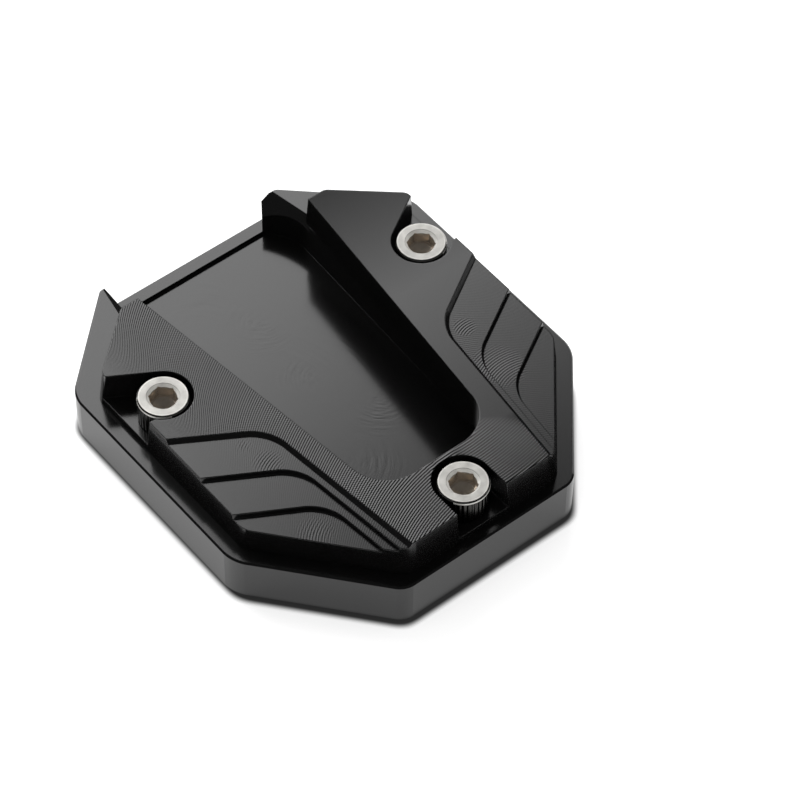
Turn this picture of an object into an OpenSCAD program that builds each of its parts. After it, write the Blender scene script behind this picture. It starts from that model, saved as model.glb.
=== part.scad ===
// Kickstand foot enlarger: a two-piece clamp-on pad that widens the foot of a motorbike side stand.
// A pocketed base plate takes the foot, and a stepped top plate closes over its edges with three
// hex-socket cap screws. Both plates are milled from black anodised aluminium.
//
// Frame: millimetres, +Z up, the sole on Z = 0. The pad is laid out about the X = 0 plane.
// +Y points to the open end that the foot slides in by, and Y = 0 is the middle of the length.

/* [Show] */
// Which node to build

/* [Base plate] */
// Width of the base plate across its two long sides
base_w = 82; // [60:0.5:120]
// Length of the base plate from its front edge to its open end
base_len = 92.8; // [70:0.1:130]
// Thickness of the base plate, sole to rim
base_h = 11; // [8:0.1:16]
// Width of the straight front edge, corner to corner
front_edge_w = 40.2; // [20:0.1:60]
// Distance of the front side corners behind the front edge
front_corner_run = 24.8; // [10:0.1:40]
// Distance of the rear side corners in front of the open end
rear_corner_run = 18.25; // [8:0.05:30]
// Half width of the open end at the two ear tips
ear_tip_x = 21.45; // [21:0.05:26]
// Corner radius at the front edge
front_corner_r = 4.5; // [2:0.5:8]
// Corner radius at the front end of the long sides
side_front_r = 8; // [4:0.5:12]
// Corner radius at the rear end of the long sides
side_rear_r = 7; // [4:0.5:12]
// Edge break around the rim
rim_break = 0.35; // [0.2:0.05:0.8]
// Chamfer around the sole
sole_chamfer = 1.25; // [0.5:0.05:2]

/* [Foot pocket] */
// Height of the pocket floor above the sole
pocket_floor_z = 3.35; // [2.5:0.05:6]
// Height of the low lip across the open end, above the sole
lip_z = 4.2; // [3.5:0.05:7]
// Thickness of the low lip, front to back
lip_len = 2.7; // [2:0.1:6]
// Half width of the pocket beside the ears
pocket_half_w = 20.4; // [18:0.1:20.8]
// Half width of the pocket at its closed front end
pocket_front_half_w = 17.2; // [14:0.1:19]
// Distance of the closed front end of the pocket behind the front edge
pocket_front_gap = 13.6; // [13:0.1:20]
// Corner radius at the closed front end of the pocket
pocket_front_r = 7; // [4:0.5:10]
// Radius of the wall that curves in at the right ear
mouth_r = 11.1; // [6:0.1:14]
// Distance of that radius's centre in front of the open end
mouth_run = 11.3; // [8:0.1:15]
// Angle at which the curved wall ends and opens out to the mouth
mouth_angle = 52; // [40:1:70]
// Half width of the mouth at the right ear, measured on the open end
mouth_right_x = 17.9; // [15:0.1:20]
// Distances of the right and the left ear's flat top from the centre line, at the open end
ear_flat_x = [20.45, 20.8];
// Angle at which the flat tops' inner edges turn out to the sides, away from the open end
ear_flat_turn = 10.4; // [0:0.1:15]
// Drop per millimetre of the sloped inner edges of the ears
ear_slope = 0.58; // [0.2:0.02:0.8]

/* [Top plate] */
// Thickness of the top plate at its highest level
top_h = 7.7; // [6:0.1:12]
// Distance of the top plate's sides inside the base plate's, at its highest level
top_side_gap = 4.2; // [2:0.05:10]
// Distance of the top plate's front edge behind the base plate's front edge
top_front_gap = 2.9; // [2:0.1:8]
// Distance of the top plate's rear edge in front of the open end
top_rear_gap = 11.9; // [8:0.1:20]
// Half width of the top plate's rear edge, corner to corner
top_rear_half_w = 24.6; // [22:0.1:30]
// Distance of the rear side corners of the top plate in front of its rear edge
top_rear_run = 10.65; // [6:0.05:16]
// Half width of the front corners, on the line of the lowest terrace
top_front_half_w = 17.2; // [12:0.1:22]
// Distance of the front side corners behind the top plate's front edge
top_front_run = 23.3; // [14:0.1:30]
// Outward lean of the outer walls per millimetre of depth
wall_lean = 0.12; // [0:0.01:0.2]
// Corner radius of the outer walls, at the foot of the plate
top_corner_r = 5; // [2:0.5:8]

/* [Slot] */
// Half width of the slot at its open rear end
slot_rear_half_w = 20.57; // [18:0.01:22]
// Half width of the slot at its closed front end, before the corners are rounded
slot_front_half_w = 13.27; // [10:0.01:18]
// Distance of the closed front end of the slot behind the base plate's front edge
slot_front_gap = 15.45; // [14:0.05:22]
// Corner radius at the closed end of the slot
slot_r = 8.5; // [4:0.5:10]

/* [Terraces] */
// Height of each terrace step
step_h = 0.9; // [0.4:0.05:1.5]
// Distance of the three feather lines from the slot edge, measured across the pad
feather_off = [4.35, 6.25, 8.05];
// Distance of the three feather bends in front of the side screws
feather_run = [18.7, 28.7, 37.95];
// Angle of the outer run of the three feather lines
feather_angle = [31.3, 30.5, 30.0];
// Radius of the feather bends
feather_r = 9; // [3:0.5:14]
// Width that the first step leans out over its height
first_step_lean = 0.7; // [0:0.05:1]
// Width that the lower steps lean out over their height
lower_step_lean = 0.3; // [0:0.05:0.6]

/* [Screws] */
// Distance of the two side screws inside the base plate's long sides
side_screw_gap = 10; // [7:0.1:14]
// Distance of the two side screws in front of the open end
side_screw_run = 34.1; // [28:0.1:45]
// Distance of the front screw behind the base plate's front edge
front_screw_y = 8.3; // [7:0.1:12]
// Distance of the front counterbore's centre behind the base plate's front edge
front_bore_y = 8.5; // [7:0.1:12]
// Thread diameter of the screws
thread_d = 6; // [5:1:8]
// Length of the screws under the head
screw_len = 10; // [8:1:12]
// Diameter of the screw heads
head_d = 10; // [8:0.5:13]
// Height of the screw heads
head_h = 6; // [5:0.5:8]
// Size of the hex sockets across their flats
socket_af = 5; // [4:1:6]
// Depth of the hex sockets
socket_depth = 3; // [2:0.1:4]
// Height of the counterbore floors above the rim
counterbore_z = 1.5; // [0.8:0.05:2]
// Clearance around the heads in their counterbores, at the radius
head_clear = 0.8; // [0.3:0.05:1]
// Clearance around the screws in the top plate, at the radius
shank_clear = 0.3; // [0.1:0.05:0.5]
// Clearance of the tapped holes around the modelled shank, at the radius
thread_clear = 0.04; // [0.02:0.01:0.1]
// Width of the edge break where the tapped holes come out of the sole
hole_break = 0.5; // [0.2:0.1:1]
// Width of the edge break around the top of the screw heads
head_break = 0.3; // [0.1:0.05:0.6]
// Width of the chamfer at the foot of the thread
thread_break = 0.5; // [0.2:0.1:1]
// Distance that the chamfer of the hex sockets reaches beyond their corners
socket_break = 0.3; // [0.1:0.05:0.6]
// Turn of the hex sockets on the right, left and front screw
socket_turn = [18, 14, 12];

/* [Hidden] */
$fn = 96;
cut_over = 1;                     // how far a cutter runs past the faces that it opens
corner_over = 0.1;                // the same for the cutters that round a corner
cross_over = 1.003;               // how much wider the cones of those cutters are than an exact fit
far = 60;                         // reach of a cutter that leaves the outline
bore_exit = -40;                  // where the front wall of a side counterbore leaves its circle
bore_flare = 5.7;                 // direction of that wall, out to the side
front_y = -base_len / 2;
rear_y = base_len / 2;
half_w = base_w / 2;
top_half_w = half_w - top_side_gap;
pad_h = base_h + top_h;           // highest level of the top plate
counterbore_floor = base_h + counterbore_z;
counterbore_r = head_d / 2 + head_clear;
black = [0.13, 0.13, 0.14];
steel = [0.80, 0.79, 0.77];

side_screw_x = half_w - side_screw_gap;
side_y = rear_y - side_screw_run;
nose_y = front_y + front_screw_y;
bore_y = front_y + front_bore_y;

// Corners of the base plate, anticlockwise from the right end of the front edge
base_outline = [
    [front_edge_w / 2, front_y], [half_w, front_y + front_corner_run],
    [half_w, rear_y - rear_corner_run], [ear_tip_x, rear_y],
    [-ear_tip_x, rear_y], [-half_w, rear_y - rear_corner_run],
    [-half_w, front_y + front_corner_run], [-front_edge_w / 2, front_y]];
ear_tip_r = 1.5;
base_radii = [front_corner_r, side_front_r, side_rear_r, ear_tip_r,
    ear_tip_r, side_rear_r, side_front_r, front_corner_r];

// Corners of the top plate at its highest level, in the same order
top_front_y = front_y + top_front_gap;
top_rear_y = rear_y - top_rear_gap;
top_outline = [
    [top_front_half_w, top_front_y], [top_half_w, top_front_y + top_front_run],
    [top_half_w, top_rear_y - top_rear_run], [top_rear_half_w, top_rear_y],
    [-top_rear_half_w, top_rear_y], [-top_half_w, top_rear_y - top_rear_run],
    [-top_half_w, top_front_y + top_front_run], [-top_front_half_w, top_front_y]];
top_rear_r = 3;
top_radii = [top_corner_r, top_corner_r, top_rear_r, top_rear_r,
    top_rear_r, top_rear_r, top_corner_r, top_corner_r];

slot_front_y = front_y + slot_front_gap;
// Widening of the slot per millimetre towards the open end
slot_taper = (slot_rear_half_w - slot_front_half_w) / (top_rear_y - slot_front_y);

function unit(v) = v / norm(v);
function edge_normal(pts, i) =
    let (n = len(pts), d = unit(pts[(i + 1) % n] - pts[i % n])) [d[1], -d[0]];
// Corner i moved out by d along both of its edges
function corner_out(pts, i, d) =
    let (n = len(pts), a = edge_normal(pts, (i + n - 1) % n), b = edge_normal(pts, i))
    pts[i] + d * (a + b) / (1 + a * b);
function outline_out(pts, d) = [for (i = [0 : len(pts) - 1]) corner_out(pts, i, d)];
// Half width of the slot at a distance along the pad
function slot_x(y) = slot_front_half_w + slot_taper * (y - slot_front_y);

// A convex block on the outline pts at z0, whose walls lean in by lean per millimetre of height
// (out where lean is negative) and whose corners are rounded with the given radii at z0.
module leaning_block(pts, radii, z0, z1, lean) {
    n = len(pts);
    h = z1 - z0;
    spread = max(0, -lean * h) + cut_over;
    difference() {
        translate([0, 0, z0])
            linear_extrude(h) polygon(lean == 0 ? pts : outline_out(pts, spread));
        if (lean != 0)
            for (i = [0 : n - 1]) {
                from = pts[i];
                to = pts[(i + 1) % n];
                translate([from[0], from[1], z0])
                    rotate([0, 0, atan2(to[1] - from[1], to[0] - from[0])])
                        rotate([-atan(lean), 0, 0])
                            translate([-far, -far, -far / 2]) cube([3 * far, far, 2 * far]);
            }
        for (i = [0 : n - 1])
            if (radii[i] > 0)
                corner_cutter(pts, i, radii[i], z0, z1, lean, spread);
    }
}

// What rounding takes off corner i of a leaning block. The cone is cross_over times the radius, so
// that it crosses the walls at a small angle where an exact one would only touch them.
module corner_cutter(pts, i, r, z0, z1, lean, spread) {
    n = len(pts);
    na = edge_normal(pts, (i + n - 1) % n);
    nb = edge_normal(pts, i);
    c = corner_out(pts, i, -r);
    reach = r + spread + cut_over;
    difference() {
        translate([0, 0, z0 - corner_over])
            linear_extrude(z1 - z0 + 2 * corner_over)
                polygon([c, c + reach * na, c + reach * (na + nb) / (1 + na * nb), c + reach * nb]);
        translate([c[0], c[1], z0 - 2 * corner_over])
            cylinder(h = z1 - z0 + 4 * corner_over,
                r1 = cross_over * (r + 2 * corner_over * lean),
                r2 = cross_over * (r - (z1 - z0 + 2 * corner_over) * lean));
    }
}

// Base plate: chamfered sole, straight sides, broken rim edge, foot pocket and three tapped holes
module base_plate() {
    color(black)
    difference() {
        base_body();
        foot_pocket();
        for (p = screw_points()) tapped_hole(p);
    }
}

module base_body() {
    sole_outline = outline_out(base_outline, -sole_chamfer);
    union() {
        leaning_block(sole_outline, [for (r = base_radii) max(r - sole_chamfer, 0)],
            0, sole_chamfer, -1);
        leaning_block(base_outline, base_radii, sole_chamfer, base_h - rim_break, 0);
        leaning_block(base_outline, base_radii, base_h - rim_break, base_h, 1);
    }
}

// The pocket that the stand's foot lies in, open over the low lip at the rear
module foot_pocket() {
    pocket_front = front_y + pocket_front_gap;
    lip_y = rear_y - lip_len;
    turn_y = rear_y - mouth_run;
    turn_x = pocket_half_w - mouth_r;
    turn_a = mouth_angle;
    wide = [
        [pocket_front_half_w, pocket_front], [pocket_half_w, turn_y],
        [pocket_half_w, lip_y], [-pocket_half_w, lip_y],
        [-pocket_half_w, turn_y], [-pocket_front_half_w, pocket_front]];
    difference() {
        union() {
            leaning_block(wide, [pocket_front_r, 0, 0, 0, 0, pocket_front_r],
                pocket_floor_z, base_h + cut_over, 0);
            translate([-pocket_half_w, turn_y, lip_z])
                cube([2 * pocket_half_w, rear_y + cut_over - turn_y, base_h + cut_over - lip_z]);
            for (s = [-1, 1]) ear_bevel(s);
        }
        // the wall that curves in to the mouth at the right ear
        difference() {
            translate([0, 0, pocket_floor_z])
                linear_extrude(base_h)
                    polygon([[turn_x, turn_y], [far, turn_y], [far, far],
                        [mouth_right_x + cut_over * cos(turn_a), rear_y + cut_over * sin(turn_a)],
                        [turn_x + mouth_r * cos(turn_a), turn_y + mouth_r * sin(turn_a)]]);
            translate([turn_x, turn_y, 0]) cylinder(h = 2 * base_h, r = cross_over * mouth_r);
            ear_bevel(1);
        }
    }
}

// The sloped inner edge on top of an ear
module ear_bevel(side) {
    flat_x = side > 0 ? ear_flat_x[0] : ear_flat_x[1];
    bevel_len = mouth_run + 2 * cut_over;
    bevel_w = flat_x - mouth_right_x + 2 * lip_len;
    translate([side * flat_x, rear_y, base_h])
        rotate([0, side * -atan(ear_slope), side * ear_flat_turn])
            translate([side * -bevel_w / 2, cut_over - bevel_len / 2, far / 2])
                cube([bevel_w, bevel_len, far], center = true);
}

function screw_points() = [[side_screw_x, side_y], [-side_screw_x, side_y], [0, nose_y]];

module tapped_hole(p) {
    r = thread_d / 2 + thread_clear;
    translate([p[0], p[1], -cut_over]) cylinder(h = base_h + 2 * cut_over, r = r);
    translate([p[0], p[1], -cut_over])
        cylinder(h = cut_over + hole_break, r1 = r + hole_break + cut_over, r2 = r);
}

// Top plate: leaning outer walls, tapered slot, counterbores open to the outside and three terraces
module top_plate() {
    foot = outline_out(top_outline, wall_lean * top_h);
    color(black)
    difference() {
        leaning_block(foot, top_radii, base_h, pad_h, wall_lean);
        slot();
        for (s = [-1, 1]) {
            side_counterbore(s);
            for (k = [0 : 2]) terrace(k, s);
        }
        front_counterbore();
        front_band();
    }
}

// The tapered slot that the leg of the stand passes through
module slot() {
    end_y = top_rear_y + 2 * cut_over;
    half_end = slot_x(end_y);
    leaning_block([
        [slot_front_half_w, slot_front_y], [half_end, end_y],
        [-half_end, end_y], [-slot_front_half_w, slot_front_y]],
        [slot_r, 0, 0, slot_r], base_h - cut_over, pad_h + cut_over, 0);
}

// A side counterbore, open to the outside, whose rear wall runs parallel to the first feather line
module side_counterbore(side) {
    c = [side_screw_x, side_y];
    a = feather_angle[0];
    tangent = c + counterbore_r * [-sin(a), cos(a)];
    corner = c + counterbore_r * [cos(bore_exit), sin(bore_exit)];
    reach = far / 2;
    mirror([side < 0 ? 1 : 0, 0, 0]) {
        translate([0, 0, counterbore_floor])
            linear_extrude(top_h)
                union() {
                    translate(c) circle(r = counterbore_r);
                    polygon([c, corner, corner + reach * [cos(bore_flare), sin(bore_flare)],
                        tangent + reach * [cos(a), sin(a)], tangent]);
                }
        translate([c[0], c[1], base_h - cut_over])
            cylinder(h = top_h, r = thread_d / 2 + shank_clear);
    }
}

// The front counterbore, open through the front wall
module front_counterbore() {
    translate([0, bore_y, counterbore_floor]) cylinder(h = top_h, r = counterbore_r);
    translate([-counterbore_r, bore_y - far, counterbore_floor]) cube([2 * counterbore_r, far, top_h]);
    translate([0, nose_y, base_h - cut_over]) cylinder(h = top_h, r = thread_d / 2 + shank_clear);
}

// What is milled away outside feather line k, down to its terrace
module terrace(k, side) {
    floor_z = pad_h - (k + 1) * step_h;
    lean_w = k == 0 ? first_step_lean : lower_step_lean;
    bend_y = side_y - feather_run[k];
    bend = [slot_x(bend_y) + feather_off[k], bend_y];
    low_y = front_y - far / 2;
    reach = far * [cos(feather_angle[k]), sin(feather_angle[k])];
    at_step_top = [bend, [slot_x(low_y) + feather_off[k], low_y], [bend[0] + reach[0], low_y], bend + reach];
    at_floor = outline_out(at_step_top, -lean_w);
    mirror([side < 0 ? 1 : 0, 0, 0])
        leaning_block(at_floor, [feather_r, 0, 0, 0], floor_z, floor_z + step_h + top_h / 2,
            -lean_w / step_h);
}

// The leaning band under the front edge of the highest level
module front_band() {
    translate([0, top_front_y, pad_h])
        rotate([-atan(first_step_lean / step_h), 0, 0])
            translate([-far / 2, -far, -step_h / cos(atan(first_step_lean / step_h))])
                cube([far, far, far]);
}

// Three hex-socket cap screws
module screws() {
    color(steel)
    for (i = [0 : 2])
        translate([screw_points()[i][0], screw_points()[i][1], counterbore_floor])
            rotate([0, 0, socket_turn[i]]) cap_screw();
}

// A cap screw with the seat of its head on Z = 0
module cap_screw() {
    socket_r = socket_af / 2 / cos(30);
    drill_r = socket_af / 2 - socket_break;
    drill_h = drill_r * tan(30);          // height of the drill point under the socket
    chamfer_r = socket_r + socket_break;  // radius of the socket's chamfer on top of the head
    chamfer_h = chamfer_r - drill_r;
    shank_r = thread_d / 2;
    head_r = head_d / 2;
    difference() {
        rotate_extrude()
            polygon([[0, -screw_len], [shank_r - thread_break, -screw_len],
                [shank_r, -screw_len + thread_break], [shank_r, 0], [head_r - head_break, 0],
                [head_r, head_break], [head_r, head_h - head_break], [head_r - head_break, head_h],
                [0, head_h]]);
        translate([0, 0, head_h - socket_depth])
            cylinder(h = socket_depth + cut_over, r = socket_r, $fn = 6);
        translate([0, 0, head_h - socket_depth - drill_h])
            cylinder(h = drill_h + corner_over, r1 = 0, r2 = drill_r * (1 + corner_over / drill_h));
        translate([0, 0, head_h - chamfer_h])
            cylinder(h = chamfer_h + cut_over, r1 = drill_r, r2 = chamfer_r + cut_over);
    }
}

base_plate();
top_plate();
screws();
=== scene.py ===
# Kickstand foot enlarger: two black anodised plates clamped by three stainless cap screws, on a
# white table under soft studio light. Metres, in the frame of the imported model.
import math
import bpy
import bmesh
from mathutils import Matrix, Vector

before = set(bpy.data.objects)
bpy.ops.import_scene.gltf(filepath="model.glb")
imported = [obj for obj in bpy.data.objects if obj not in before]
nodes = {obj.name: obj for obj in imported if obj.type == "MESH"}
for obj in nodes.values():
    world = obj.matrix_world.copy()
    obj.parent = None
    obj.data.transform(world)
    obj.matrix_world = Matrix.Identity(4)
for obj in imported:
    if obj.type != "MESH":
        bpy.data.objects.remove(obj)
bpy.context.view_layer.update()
MM = 0.001
UM = 0.000001


# Node helpers

def link(tree, a, b):
    tree.links.new(a, b)


def math_node(tree, op, a, b=None, c=None):
    """A Math node whose inputs are numbers or sockets. Gives its output."""
    n = tree.nodes.new("ShaderNodeMath")
    n.operation = op
    for i, v in enumerate((a, b, c)):
        if v is None:
            continue
        if isinstance(v, (int, float)):
            n.inputs[i].default_value = v
        else:
            link(tree, v, n.inputs[i])
    return n.outputs[0]


def clamped(tree, op, a, b=None, c=None):
    """The same, kept between 0 and 1."""
    out = math_node(tree, op, a, b, c)
    out.node.use_clamp = True
    return out


def split(tree, vector):
    """The X, Y and Z of a vector."""
    n = tree.nodes.new("ShaderNodeSeparateXYZ")
    link(tree, vector, n.inputs[0])
    return n.outputs[0], n.outputs[1], n.outputs[2]


def choose(tree, fac, a, b):
    """a where fac is 0, b where it is 1."""
    n = tree.nodes.new("ShaderNodeMix")
    link(tree, fac, n.inputs[0])
    for k, v in ((2, a), (3, b)):
        if isinstance(v, (int, float)):
            n.inputs[k].default_value = v
        else:
            link(tree, v, n.inputs[k])
    return n.outputs[0]


def new_group(name, ins, outs):
    g = bpy.data.node_groups.new(name, "ShaderNodeTree")
    for label, kind, value in ins:
        s = g.interface.new_socket(label, in_out="INPUT", socket_type=kind)
        if value is not None:
            s.default_value = value
    for label, kind in outs:
        g.interface.new_socket(label, in_out="OUTPUT", socket_type=kind)
    return g, g.nodes.new("NodeGroupInput"), g.nodes.new("NodeGroupOutput")


def use_group(tree, group, vector=None, **values):
    n = tree.nodes.new("ShaderNodeGroup")
    n.node_tree = group
    if vector is not None:
        link(tree, vector, n.inputs["Vector"])
    for k, v in values.items():
        n.inputs[k].default_value = v
    return n.outputs[0]


def noise(tree, vector, scale, detail=3.0):
    n = tree.nodes.new("ShaderNodeTexNoise")
    n.inputs["Scale"].default_value = scale
    n.inputs["Detail"].default_value = detail
    link(tree, vector, n.inputs["Vector"])
    return n.outputs["Fac"]


def flat_offset(tree, point, centre):
    """How far a point lies from a centre along X and along Y."""
    d = tree.nodes.new("ShaderNodeVectorMath")
    d.operation = "SUBTRACT"
    link(tree, point, d.inputs[0])
    link(tree, centre, d.inputs[1])
    x, y, z = split(tree, d.outputs[0])
    return x, y


def length_of(tree, x, y):
    return math_node(tree, "SQRT", math_node(tree, "ADD", math_node(tree, "MULTIPLY", x, x),
                                             math_node(tree, "MULTIPLY", y, y)))


def fade_out(tree, distance, reach):
    """1 at the middle, falling to 0 at the reach."""
    share = math_node(tree, "DIVIDE", distance, reach)
    return math_node(tree, "MAXIMUM", math_node(tree, "SUBTRACT", 1.0, share), 0.0)


# Cutter marks that sweep across a milled face: arcs of one radius, a feed apart.
def make_sweep_group():
    g, i, o = new_group("cutter_sweep", [
        ("Vector", "NodeSocketVector", None), ("Feed", "NodeSocketFloat", 0.0005),
        ("Radius", "NodeSocketFloat", 0.058), ("CentreX", "NodeSocketFloat", 0.003),
        ("Side", "NodeSocketFloat", 1.0)], [("Height", "NodeSocketFloat")])
    x, y, z = split(g, i.outputs["Vector"])
    dx = math_node(g, "SUBTRACT", x, i.outputs["CentreX"])
    rr = math_node(g, "MULTIPLY", i.outputs["Radius"], i.outputs["Radius"])
    dd = math_node(g, "MULTIPLY", dx, dx)
    sag = math_node(g, "SQRT", math_node(g, "MAXIMUM", math_node(g, "SUBTRACT", rr, dd), 0.0))
    start = math_node(g, "SUBTRACT", y, math_node(g, "MULTIPLY", sag, i.outputs["Side"]))
    turns = math_node(g, "DIVIDE", start, i.outputs["Feed"])
    wave = math_node(g, "SINE", math_node(g, "MULTIPLY", turns, 2 * math.pi))
    link(g, math_node(g, "MULTIPLY_ADD", wave, 0.5, 0.5), o.inputs[0])
    return g


# A patch of rings where a cutter turned, fading out from its centre.
def make_ring_group():
    g, i, o = new_group("cutter_rings", [
        ("Vector", "NodeSocketVector", None), ("Centre", "NodeSocketVector", None),
        ("Patch", "NodeSocketVector", None), ("Reach", "NodeSocketFloat", 0.004),
        ("Feed", "NodeSocketFloat", 0.0005)], [("Height", "NodeSocketFloat")])
    x, y = flat_offset(g, i.outputs["Vector"], i.outputs["Centre"])
    px, py = flat_offset(g, i.outputs["Vector"], i.outputs["Patch"])
    turns = math_node(g, "DIVIDE", length_of(g, x, y), i.outputs["Feed"])
    wave = math_node(g, "SINE", math_node(g, "MULTIPLY", turns, 2 * math.pi))
    fade = fade_out(g, length_of(g, px, py), i.outputs["Reach"])
    link(g, math_node(g, "MULTIPLY", wave, fade), o.inputs[0])
    return g


# How strongly a point belongs to a level: 1 between two heights, 0 outside them.
def make_level_group():
    g, i, o = new_group("level_mask", [
        ("Vector", "NodeSocketVector", None), ("Low", "NodeSocketFloat", 0.0),
        ("High", "NodeSocketFloat", 1.0)], [("Mask", "NodeSocketFloat")])
    x, y, z = split(g, i.outputs["Vector"])
    above = math_node(g, "GREATER_THAN", z, i.outputs["Low"])
    below = math_node(g, "LESS_THAN", z, i.outputs["High"])
    link(g, math_node(g, "MULTIPLY", above, below), o.inputs[0])
    return g


# Streaks that follow circles around a centre and come and go along them, fading out from a patch.
def make_streak_group():
    g, i, o = new_group("cutter_streaks", [
        ("Vector", "NodeSocketVector", None), ("Centre", "NodeSocketVector", None),
        ("Patch", "NodeSocketVector", None), ("Reach", "NodeSocketFloat", 0.006),
        ("Width", "NodeSocketFloat", 0.0006)], [("Height", "NodeSocketFloat")])
    x, y = flat_offset(g, i.outputs["Vector"], i.outputs["Centre"])
    r = length_of(g, x, y)
    along = math_node(g, "MULTIPLY", math_node(g, "ARCTAN2", y, x), 1.6)
    spot = g.nodes.new("ShaderNodeCombineXYZ")
    link(g, math_node(g, "DIVIDE", r, i.outputs["Width"]), spot.inputs[0])
    link(g, along, spot.inputs[1])
    streak = noise(g, spot.outputs[0], 1.0, 2.0)
    px, py = flat_offset(g, i.outputs["Vector"], i.outputs["Patch"])
    fade = fade_out(g, length_of(g, px, py), i.outputs["Reach"])
    link(g, math_node(g, "MULTIPLY", math_node(g, "SUBTRACT", streak, 0.5), fade), o.inputs[0])
    return g


SWEEP = make_sweep_group()
RINGS = make_ring_group()
LEVEL = make_level_group()
STREAKS = make_streak_group()


def new_material(name):
    m = bpy.data.materials.new(name)
    m.use_nodes = True
    t = m.node_tree
    bsdf = t.nodes["Principled BSDF"]
    coords = t.nodes.new("ShaderNodeTexCoord").outputs["Object"]
    return m, t, bsdf, coords


def ramp(tree, fac, lo, hi):
    """fac from 0 to 1 turned into a number from lo to hi."""
    n = tree.nodes.new("ShaderNodeMapRange")
    n.inputs["To Min"].default_value = lo
    n.inputs["To Max"].default_value = hi
    link(tree, fac, n.inputs["Value"])
    return n.outputs[0]


def grey(tree, value, tint=(1.0, 0.99, 1.0)):
    n = tree.nodes.new("ShaderNodeCombineColor")
    for k in range(3):
        link(tree, math_node(tree, "MULTIPLY", value, tint[k]), n.inputs[k])
    return n.outputs[0]


def add_up(tree, parts):
    """The sum of (socket, weight) pairs."""
    total = None
    for socket, weight in parts:
        one = math_node(tree, "MULTIPLY", socket, weight)
        total = one if total is None else math_node(tree, "ADD", total, one)
    return total


def bevel(tree, radius, samples=6):
    """The normal over edges that look rounded to a radius."""
    v = tree.nodes.new("ShaderNodeBevel")
    v.samples = samples
    v.inputs["Radius"].default_value = radius
    return v.outputs[0]


def blend(tree, kind, fac, a, b):
    """a where fac is 0, b where it is 1, and beyond b above 1. kind is VECTOR or RGBA."""
    n = tree.nodes.new("ShaderNodeMix")
    n.data_type = kind
    n.clamp_factor = False
    link(tree, fac, n.inputs["Factor"])
    link(tree, a, [x for x in n.inputs if x.name == "A" and x.enabled][0])
    link(tree, b, [x for x in n.inputs if x.name == "B" and x.enabled][0])
    return [x for x in n.outputs if x.enabled][0]


def tilted(tree, normal, sideways, up):
    """The normal of the walls, turned along Y and along Z by these amounts."""
    nx, ny, nz = split(tree, normal)
    wall = math_node(tree, "LESS_THAN", math_node(tree, "ABSOLUTE", nz), 0.35)
    turn = tree.nodes.new("ShaderNodeCombineXYZ")
    link(tree, math_node(tree, "MULTIPLY", wall, sideways), turn.inputs[1])
    link(tree, math_node(tree, "MULTIPLY", wall, up), turn.inputs[2])
    total = tree.nodes.new("ShaderNodeVectorMath")
    total.operation = "ADD"
    link(tree, normal, total.inputs[0])
    link(tree, turn.outputs[0], total.inputs[1])
    n = tree.nodes.new("ShaderNodeVectorMath")
    n.operation = "NORMALIZE"
    link(tree, total.outputs[0], n.inputs[0])
    return n.outputs[0]


def relief(tree, bsdf, height, normal):
    """Bumps the surface by height, which is in metres, over a normal."""
    b = tree.nodes.new("ShaderNodeBump")
    b.inputs["Distance"].default_value = 1.0
    link(tree, height, b.inputs["Height"])
    link(tree, normal, b.inputs["Normal"])
    link(tree, b.outputs[0], bsdf.inputs["Normal"])


ANODISED = 0.0045         # what the black anodised skin scatters
SKIN_IOR = 1.52           # anodised skin, which is aluminium oxide filled with dye
EDGE = 0.14 * MM          # how far the base plate's edges are broken
TOP_EDGE = 0.24 * MM      # the same for the top plate
SCREW_EDGE = 0.08 * MM    # and for the screws
SHARP = 0.02 * MM         # an edge that was left sharp
FEED = 0.55 * MM          # how far apart the cutter's lines and rings are
SIDE_LEAN = -0.09         # how much the top plate's side walls lean out in the looks
FRONT_LEAN = -0.24        # the same for its front wall and the two slanted walls beside that
SLOT_TURN = -0.17         # how much the slot's right wall turns to the front

# The heights that a level lies between
POCKET_FLOOR = {"Low": 3.0 * MM, "High": 3.6 * MM}
BASE_TOP = {"Low": 10.0 * MM, "High": 11.2 * MM}
TERRACES = {"Low": 15.9 * MM, "High": 17.9 * MM}
HIGHEST = {"Low": 18.66 * MM, "High": 19.0 * MM}
HEAD_BREAK = {"Low": 17.85 * MM, "High": 18.22 * MM}


def anodised(name):
    m, t, bsdf, co = new_material(name)
    bsdf.inputs["IOR"].default_value = SKIN_IOR
    return m, t, bsdf, co


# Streaks on the pocket floor: centre of their circles, middle of the patch, reach and width, in mm
FLOOR_STREAKS = [
    (-20.6, 6.0, 5.6, 10.0, 11.0, 0.9),
    (1.6, 25.0, -1.0, 27.0, 6.5, 0.8),
    (2.2, 7.4, -1.5, 10.0, 5.5, 0.7),
    (-8.5, -10.5, -1.4, -15.0, 7.5, 0.9),
    (3.0, 28.5, -0.3, 21.5, 6.0, 0.5),
    (9.0, -3.0, 4.8, -6.3, 7.0, 0.6),
    (-10.0, 30.0, -4.0, 37.0, 9.0, 1.1)]


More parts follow.
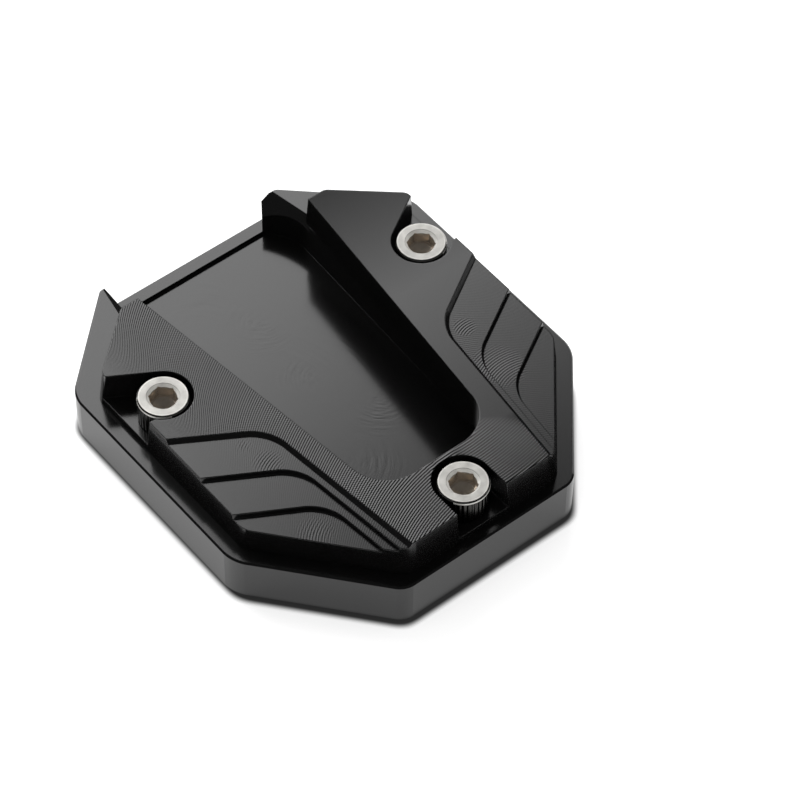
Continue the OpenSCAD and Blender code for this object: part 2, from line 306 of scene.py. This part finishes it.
# Base plate: satin black, with loose swirls of the cutter on the pocket floor
def base_black():
    m, t, bsdf, co = anodised("base_black")
    cloud = noise(t, co, 90.0)
    grain = noise(t, co, 4200.0, 2.0)
    x, y, z = split(t, co)
    swirls = add_up(t, [
        (use_group(t, STREAKS, co, Centre=(cx * MM, cy * MM, 0), Patch=(px * MM, py * MM, 0),
                   Reach=reach * MM, Width=width * MM), 1.0)
        for cx, cy, px, py, reach, width in FLOOR_STREAKS])
    swirls = math_node(t, "MULTIPLY", swirls, use_group(t, LEVEL, co, **POCKET_FLOOR))
    link(t, grey(t, ramp(t, cloud, ANODISED * 0.85, ANODISED * 1.15)), bsdf.inputs["Base Color"])
    link(t, ramp(t, grain, 0.13, 0.18), bsdf.inputs["Roughness"])
    height = add_up(t, [(swirls, 16.0 * UM), (grain, 0.25 * UM), (noise(t, co, 260.0, 2.0), 1.2 * UM)])
    # under the top plate the pocket's edge is sharp
    around = math_node(t, "MULTIPLY", math_node(t, "LESS_THAN", y, 24.0 * MM),
                       math_node(t, "LESS_THAN", math_node(t, "ABSOLUTE", x), 22.0 * MM))
    under = math_node(t, "MULTIPLY", use_group(t, LEVEL, co, **BASE_TOP), around)
    relief(t, bsdf, height, blend(t, "VECTOR", under, bevel(t, EDGE), bevel(t, SHARP, 4)))
    return m


# Ring patches on the terraces: centre of the rings, middle of the patch, its reach and depth, in mm
RING_PATCHES = [
    (-21.5, -20.0, -25.0, -12.0, 3.4, 1.0),
    (-23.0, -11.0, -26.2, -6.0, 1.9, 0.5),
    (-21.0, -37.0, -27.5, -29.2, 4.4, 0.6),
    (24.9, -14.5, 24.2, -9.2, 2.4, 2.2),
    (24.6, -31.0, 23.8, -20.2, 5.6, 2.0)]


# Top plate: the same black, with fine cutter lines on its highest level and rings on the terraces
def top_black():
    m, t, bsdf, co = anodised("top_black")
    x, y, z = split(t, co)
    cloud = noise(t, co, 80.0)
    grain = noise(t, co, 4200.0, 2.0)
    highest = use_group(t, LEVEL, co, **HIGHEST)
    terraces = use_group(t, LEVEL, co, **TERRACES)
    # lines: they fade towards the right rear, where the cutter left the face smoother, and to the far left
    strong = clamped(t, "ADD", math_node(t, "MULTIPLY", x, -28.0),
                     math_node(t, "MULTIPLY_ADD", y, -22.0, 0.85))
    strong = math_node(t, "MULTIPLY", strong, clamped(t, "MULTIPLY_ADD", x, 50.0, 2.0))
    # on the right arm they end a little behind the slot's front corner
    ahead = math_node(t, "SUBTRACT", math_node(t, "MULTIPLY_ADD", x, -0.776, -19.2 * MM), y)
    ahead = clamped(t, "DIVIDE", ahead, 5.0 * MM)
    left = math_node(t, "LESS_THAN", x, 3.0 * MM)
    strong = math_node(t, "MULTIPLY", strong, math_node(t, "MAXIMUM", ahead, left))
    # here and there they are crossed by those of the cutter's way back
    forward = use_group(t, SWEEP, co, Feed=FEED, Radius=40.0 * MM, CentreX=3.0 * MM, Side=1.0)
    backward = use_group(t, SWEEP, co, Feed=FEED, Radius=40.0 * MM, CentreX=3.0 * MM, Side=-1.0)
    crossed = clamped(t, "MULTIPLY_ADD", noise(t, co, 60.0, 1.0), 3.0, -1.2)
    crossed = math_node(t, "MULTIPLY", backward, math_node(t, "MULTIPLY", crossed, 0.8))
    lines = math_node(t, "ADD", forward, crossed)
    # on the right arm they run the other way
    other = use_group(t, SWEEP, co, Feed=FEED, Radius=73.0 * MM, CentreX=3.0 * MM, Side=-1.0)
    over = clamped(t, "DIVIDE", math_node(t, "SUBTRACT", x, 1.0 * MM), 6.0 * MM)
    lines = choose(t, over, lines, other)
    lines = math_node(t, "MULTIPLY", math_node(t, "MULTIPLY", lines, highest), strong)
    rings = add_up(t, [
        (use_group(t, RINGS, co, Centre=(cx * MM, cy * MM, 0), Patch=(px * MM, py * MM, 0),
                   Reach=reach * MM, Feed=FEED), depth)
        for cx, cy, px, py, reach, depth in RING_PATCHES])
    rings = math_node(t, "MULTIPLY", rings, terraces)
    faint_lines = math_node(t, "MULTIPLY", forward, terraces)
    # the highest level bends a little: up at the right arm's rear end, and down by the front screw
    rear = math_node(t, "MAXIMUM", math_node(t, "SUBTRACT", y, 4.0 * MM), 0.0)
    rear = math_node(t, "MULTIPLY", rear, rear)
    rear = math_node(t, "MULTIPLY", rear, math_node(t, "GREATER_THAN", x, 0.0))
    front = math_node(t, "MAXIMUM", math_node(t, "SUBTRACT", -31.0 * MM, y), 0.0)
    rightwards = clamped(t, "DIVIDE", math_node(t, "ADD", x, 14.0 * MM), 24.0 * MM)
    front = math_node(t, "MULTIPLY", math_node(t, "MULTIPLY", front, front), rightwards)
    bends = math_node(t, "MULTIPLY", add_up(t, [(rear, 0.9), (front, -4.4)]), highest)
    link(t, grey(t, ramp(t, cloud, ANODISED * 0.85, ANODISED * 1.15)), bsdf.inputs["Base Color"])
    link(t, ramp(t, grain, 0.13, 0.19), bsdf.inputs["Roughness"])
    level_grain = math_node(t, "MULTIPLY", grain, math_node(t, "ADD", highest, terraces))
    height = add_up(t, [(lines, 36.0 * UM), (rings, 7.0 * UM), (faint_lines, 2.5 * UM),
                        (level_grain, 0.25 * UM), (bends, 1.0)])
    # the highest level's edges look rounder than they are, and where the plate meets the base it is sharp
    edges = blend(t, "VECTOR", math_node(t, "MULTIPLY_ADD", highest, 1.9, 1.0), bevel(t, SHARP, 4),
                  bevel(t, TOP_EDGE, 10))
    edges = blend(t, "VECTOR", math_node(t, "LESS_THAN", z, 11.3 * MM), edges, bevel(t, SHARP, 4))
    # walls: the outer ones lean out, and the slot's right one turns to the front
    outer = math_node(t, "MAXIMUM", math_node(t, "GREATER_THAN", math_node(t, "ABSOLUTE", x), 23.0 * MM),
                      math_node(t, "LESS_THAN", y, -36.0 * MM))
    right_wall = math_node(t, "MULTIPLY", math_node(t, "SUBTRACT", 1.0, outer),
                           math_node(t, "GREATER_THAN", x, 9.0 * MM))
    lean = ramp(t, math_node(t, "LESS_THAN", y, -20.5 * MM), SIDE_LEAN, FRONT_LEAN)
    lean = math_node(t, "MULTIPLY", outer, lean)
    relief(t, bsdf, height, tilted(t, edges, math_node(t, "MULTIPLY", right_wall, SLOT_TURN), lean))
    return m


SCREW_AXES = [(31.0, 12.3), (-31.0, 12.3), (0.0, -38.1)]
KNURLS = 36
HEAD_TOP = 18.45 * MM         # just under the top faces of the heads
SOCKET_TOP = 17.95 * MM       # under the broken edge around the sockets
KNURL_TOP = 17.85 * MM


# Screws: satin stainless with knurled heads, browner down in the sockets, with painted shade on the knurled
# sides and painted highlights on the broken edges and the rims of the tops
def screw_steel():
    m, t, bsdf, co = new_material("screw_steel")
    grain = noise(t, co, 2600.0)
    cloud = noise(t, co, 500.0)
    x, y, z = split(t, co)
    away, knurl = None, None
    for cx, cy in SCREW_AXES:
        dx = math_node(t, "SUBTRACT", x, cx * MM)
        dy = math_node(t, "SUBTRACT", y, cy * MM)
        r = length_of(t, dx, dy)
        near = math_node(t, "LESS_THAN", r, 8.0 * MM)
        wave = math_node(t, "SINE", math_node(t, "MULTIPLY", math_node(t, "ARCTAN2", dy, dx), KNURLS))
        wave = math_node(t, "MULTIPLY", wave, near)
        away = r if away is None else math_node(t, "MINIMUM", away, r)
        knurl = wave if knurl is None else math_node(t, "ADD", knurl, wave)
    top = math_node(t, "GREATER_THAN", z, HEAD_TOP)
    # painted highlight: the outer rim of each head's top is painted a quarter lighter
    rim_highlight = math_node(t, "MULTIPLY", top, math_node(t, "GREATER_THAN", away, 4.45 * MM))
    inside = math_node(t, "LESS_THAN", away, 3.25 * MM)
    outside = math_node(t, "GREATER_THAN", away, 4.6 * MM)
    # painted shade: the knurled sides of the heads, down in the counterbores, are painted much darker
    side = math_node(t, "MULTIPLY", outside, math_node(t, "LESS_THAN", z, KNURL_TOP))
    socket = math_node(t, "MULTIPLY", inside, math_node(t, "LESS_THAN", z, SOCKET_TOP))
    # painted highlight: the broken edges around the socket, and above the knurls where the counterbores are
    # open, are made dull and painted twice as light, so that they look lit from all around
    mouth = math_node(t, "MULTIPLY", inside, math_node(t, "GREATER_THAN", z, SOCKET_TOP))
    open_side = math_node(t, "MAXIMUM", math_node(t, "GREATER_THAN", math_node(t, "ABSOLUTE", x), 32.5 * MM),
                          math_node(t, "LESS_THAN", y, -40.5 * MM))
    collar = math_node(t, "MULTIPLY", math_node(t, "MULTIPLY", outside, open_side),
                       use_group(t, LEVEL, co, **HEAD_BREAK))
    below = math_node(t, "SUBTRACT", 1.0, top)
    edge_highlight = math_node(t, "MULTIPLY", math_node(t, "MAXIMUM", mouth, collar), below)
    metal = math_node(t, "SUBTRACT", 1.0, add_up(t, [(edge_highlight, 0.85), (socket, 0.30)]))
    link(t, metal, bsdf.inputs["Metallic"])
    steel = ramp(t, cloud, 0.24, 0.52)
    # the colour: painted shade on the knurled sides, painted highlights on the broken edges and the rim of
    # the top, a little lighter in the sockets
    value = math_node(t, "MULTIPLY", steel,
                      add_up(t, [(side, -0.88), (edge_highlight, 1.0), (socket, 0.35), (rim_highlight, 0.25)]))
    value = math_node(t, "ADD", value, steel)
    link(t, blend(t, "RGBA", socket, grey(t, value, (1.0, 0.98, 0.93)), grey(t, value, (1.0, 0.88, 0.74))),
         bsdf.inputs["Base Color"])
    link(t, choose(t, top, ramp(t, grain, 0.14, 0.22), ramp(t, grain, 0.38, 0.54)), bsdf.inputs["Roughness"])
    knurl = math_node(t, "MULTIPLY", knurl, side)
    height = add_up(t, [(grain, 2.5 * UM), (cloud, 14.0 * UM), (knurl, 60.0 * UM)])
    relief(t, bsdf, height, bevel(t, SCREW_EDGE))
    return m


def dress(name, material):
    o = nodes[name]
    o.data.materials.clear()
    o.data.materials.append(material)


dress("base_plate", base_black())
dress("top_plate", top_black())
dress("screws", screw_steel())


# The base plate's outline as half planes, for its right half: direction, and distance in mm
OUTLINE = [(1.0, 0.0, 40.6), (0.7647, -0.6444, 45.27), (0.0, -1.0, 46.4), (0.6825, 0.7311, 48.56),
           (0.0, 1.0, 46.4)]
OUTLINE_ROUND = 2.8 * MM      # how softly the half planes run into each other
SHADE_SHIFT = 0.3 * MM        # how far the close shade is moved to the front
SHADE_START = -0.25 * MM      # where it starts to fade and where it ends, measured from the outline
SHADE_END = 1.35 * MM
SHADE_LEFT = 0.03             # how much of the table's white is left under the part
TABLE_WHITE = 0.86
CAMERA_GLOW = 0.57            # the table's own glow, as the camera sees it and as shiny surfaces do
GLOSSY_GLOW = 0.44


def clear_of_part(tree, coords):
    """0 where the part touches the table or closely shades it, and 1 farther out."""
    x, y, z = split(tree, coords)
    x = math_node(tree, "ABSOLUTE", x)
    y = math_node(tree, "ADD", y, SHADE_SHIFT)
    away = None
    for nx, ny, d in OUTLINE:
        h = math_node(tree, "MULTIPLY_ADD", x, nx, math_node(tree, "MULTIPLY", y, ny))
        h = math_node(tree, "SUBTRACT", h, d * MM)
        away = h if away is None else math_node(tree, "SMOOTH_MAX", away, h, OUTLINE_ROUND)
    n = tree.nodes.new("ShaderNodeMapRange")
    n.interpolation_type = "SMOOTHSTEP"
    n.inputs["From Min"].default_value = SHADE_START
    n.inputs["From Max"].default_value = SHADE_END
    link(tree, away, n.inputs["Value"])
    return n.outputs[0]


# White table that keeps the soft shadow, with a painted contact shade along the part's outline that darkens
# its white and its glow
def make_floor():
    bm = bmesh.new()
    bmesh.ops.create_grid(bm, x_segments=1, y_segments=1, size=3.0)
    me = bpy.data.meshes.new("table")
    bm.to_mesh(me)
    bm.free()
    o = bpy.data.objects.new("table", me)
    bpy.context.scene.collection.objects.link(o)
    m, t, bsdf, co = new_material("table_white")
    bsdf.inputs["Roughness"].default_value = 0.9
    bsdf.inputs["Specular IOR Level"].default_value = 0.0
    # painted shade: the table's white and glow fall to SHADE_LEFT along the part's outline
    white = ramp(t, clear_of_part(t, co), SHADE_LEFT, 1.0)
    link(t, grey(t, math_node(t, "MULTIPLY", white, TABLE_WHITE), (1.0, 1.0, 1.0)), bsdf.inputs["Base Color"])
    path = t.nodes.new("ShaderNodeLightPath")
    glow = add_up(t, [(path.outputs["Is Camera Ray"], CAMERA_GLOW),
                      (path.outputs["Is Glossy Ray"], GLOSSY_GLOW)])
    link(t, math_node(t, "MULTIPLY", glow, white), bsdf.inputs["Emission Strength"])
    bsdf.inputs["Emission Color"].default_value = (1, 1, 1, 1)
    me.materials.append(m)


make_floor()


# The studio: one large soft panel behind the part and to its left, in an otherwise dim room. Each
# border of the panel is a direction that points out of it, and how softly the light ends there.
PANEL = 3.95              # as the camera's reflections see it
ROOM = 0.05
SOFT_PANEL = 0.8          # the same panel as dull surfaces see it, through a diffuser
SOFT_ROOM = 0.62
BORDERS = [
    ((0.152, -0.870, 0.467), 0.055, 0.0),     # front
    ((0.669, -0.743, 0.0), 0.040, 0.0),       # right
    ((-0.951, -0.309, 0.0), 0.120, 0.0),      # left
    ((0.0, 0.0, -1.0), 0.080, -0.08)]         # table


def make_world():
    w = bpy.data.worlds.new("studio")
    bpy.context.scene.world = w
    w.use_nodes = True
    t = w.node_tree
    bg = t.nodes["Background"]
    direction = t.nodes.new("ShaderNodeTexCoord").outputs["Generated"]
    panel = None
    for outwards, softness, at in BORDERS:
        d = t.nodes.new("ShaderNodeVectorMath")
        d.operation = "DOT_PRODUCT"
        link(t, direction, d.inputs[0])
        d.inputs[1].default_value = outwards
        n = t.nodes.new("ShaderNodeMapRange")
        n.interpolation_type = "SMOOTHSTEP"
        n.inputs["From Min"].default_value = at - softness
        n.inputs["From Max"].default_value = at + softness
        n.inputs["To Min"].default_value = 1.0
        n.inputs["To Max"].default_value = 0.0
        link(t, d.outputs["Value"], n.inputs["Value"])
        panel = n.outputs[0] if panel is None else math_node(t, "MULTIPLY", panel, n.outputs[0])
    path = t.nodes.new("ShaderNodeLightPath")
    seen = choose(t, path.outputs["Is Diffuse Ray"], math_node(t, "MULTIPLY_ADD", panel, PANEL, ROOM),
                  math_node(t, "MULTIPLY_ADD", panel, SOFT_PANEL, SOFT_ROOM))
    bg.inputs["Color"].default_value = (1, 1, 1, 1)
    link(t, choose(t, path.outputs["Is Camera Ray"], seen, 1.0), bg.inputs["Strength"])


make_world()


def make_camera():
    d = bpy.data.cameras.new("camera")
    d.sensor_width = 36.0
    d.lens = 161.06
    d.clip_start, d.clip_end = 0.05, 20.0
    o = bpy.data.objects.new("camera", d)
    # fitted to the plates' edges: its right, up and back directions, and its place in millimetres
    right, up, back = (0.7784, -0.6276, 0.0094), (0.4826, 0.6079, 0.6304), (-0.4015, -0.4862, 0.7762)
    turn = Matrix((right, up, back)).transposed()
    o.matrix_world = Matrix.Translation(Vector((-264.83, -340.26, 536.32)) * MM) @ turn.to_4x4()
    bpy.context.scene.collection.objects.link(o)
    bpy.context.scene.camera = o


make_camera()
bpy.context.scene.view_settings.view_transform = "Standard"
